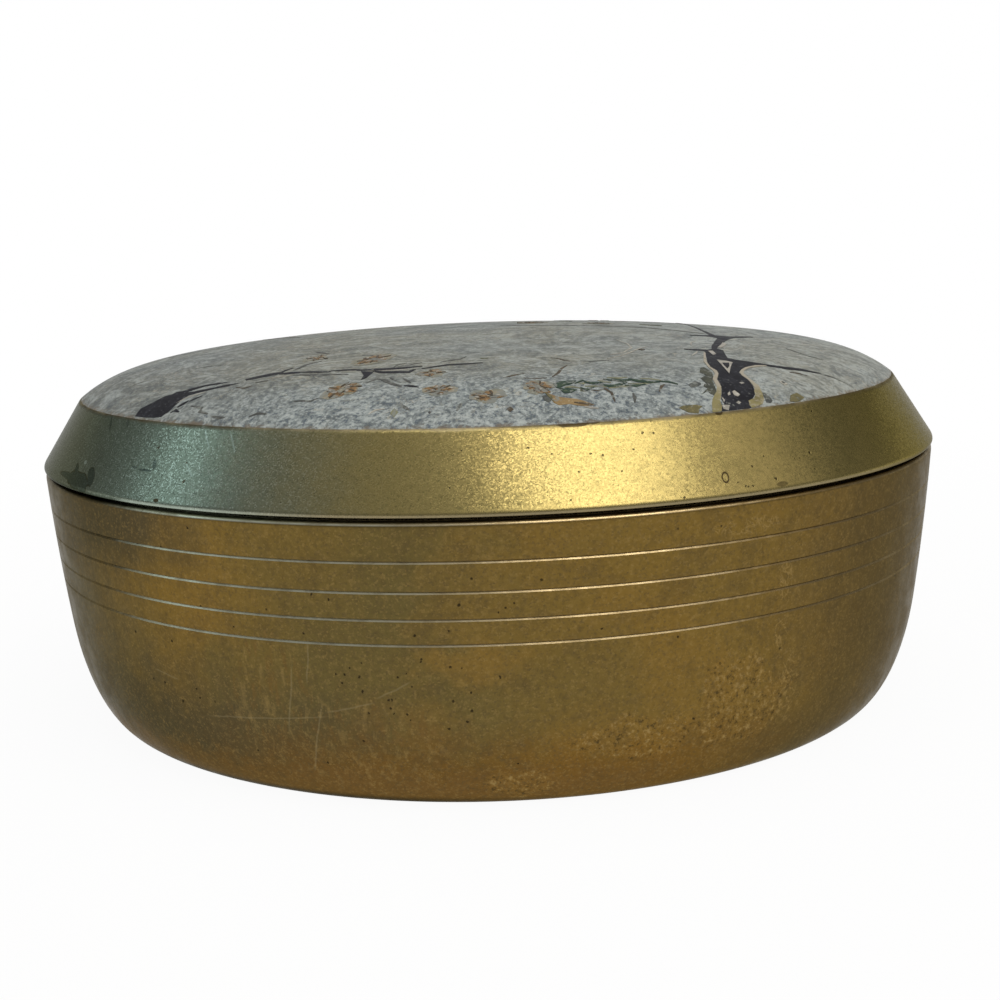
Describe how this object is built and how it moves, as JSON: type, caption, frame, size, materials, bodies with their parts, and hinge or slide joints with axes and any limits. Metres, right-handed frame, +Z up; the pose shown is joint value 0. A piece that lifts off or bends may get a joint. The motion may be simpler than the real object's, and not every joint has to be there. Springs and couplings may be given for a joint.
{
  "type": "trinket box",
  "caption": "Round brass trinket box: a turned, grooved bowl under a lift-off bevelled lid with a cushioned top inlaid with a blossoming branch.",
  "frame": {"origin": "centre of the flat underside", "axes": "+Z up along the turning axis; -Y towards the front of the inlaid picture, +X to its right, where the trunk is"},
  "size_m": [0.1176, 0.1176, 0.0477],
  "materials": {
    "aged_brass": "aged satin brass, mottled, pitted and lightly scratched",
    "satin_brass": "grainy satin brass",
    "gilt_brass": "thin brass strip, ground flush",
    "grey_ground": "grey marbled paste, polished flush",
    "black_inlay": "black paste, polished flush",
    "amber_inlay": "amber and gold flecked paste",
    "green_inlay": "dark green paste"
  },
  "bodies": {
    "bowl": {"box_body": "aged_brass"},
    "cover": {"lid": "satin_brass", "inlay_ground": "grey_ground", "trunk": "black_inlay", "trunk_bark": "black_inlay", "branch_root": "black_inlay", "branch_middle": "black_inlay", "branch_tip": "black_inlay", "twig_up": "black_inlay", "twig_down": "black_inlay", "side_branch": "black_inlay", "back_branch": "black_inlay", "back_twig": "black_inlay", "blossom_1": "amber_inlay", "blossom_2": "amber_inlay", "blossom_3": "amber_inlay", "blossom_4": "amber_inlay", "blossom_5": "amber_inlay", "blossom_6": "amber_inlay", "blossom_7": "amber_inlay", "blossom_8": "amber_inlay", "blossom_9": "amber_inlay", "blossom_10": "amber_inlay", "leaf_1": "green_inlay", "leaf_2": "green_inlay", "leaf_3": "green_inlay", "leaf_4": "green_inlay", "leaf_5": "green_inlay", "leaf_6": "green_inlay", "leaf_7": "green_inlay", "leaf_8": "green_inlay", "trunk_knot": "gilt_brass", "strip_left": "gilt_brass", "strip_right": "gilt_brass", "gold_leaf": "gilt_brass", "gilt_patch_1": "gilt_brass", "gilt_patch_2": "gilt_brass"}
  },
  "joints": [
    {"name": "lid_lift", "type": "slide", "parent": "bowl", "child": "cover", "axis": [0, 0, 1], "range_m": [0, 0.06]}
  ]
}
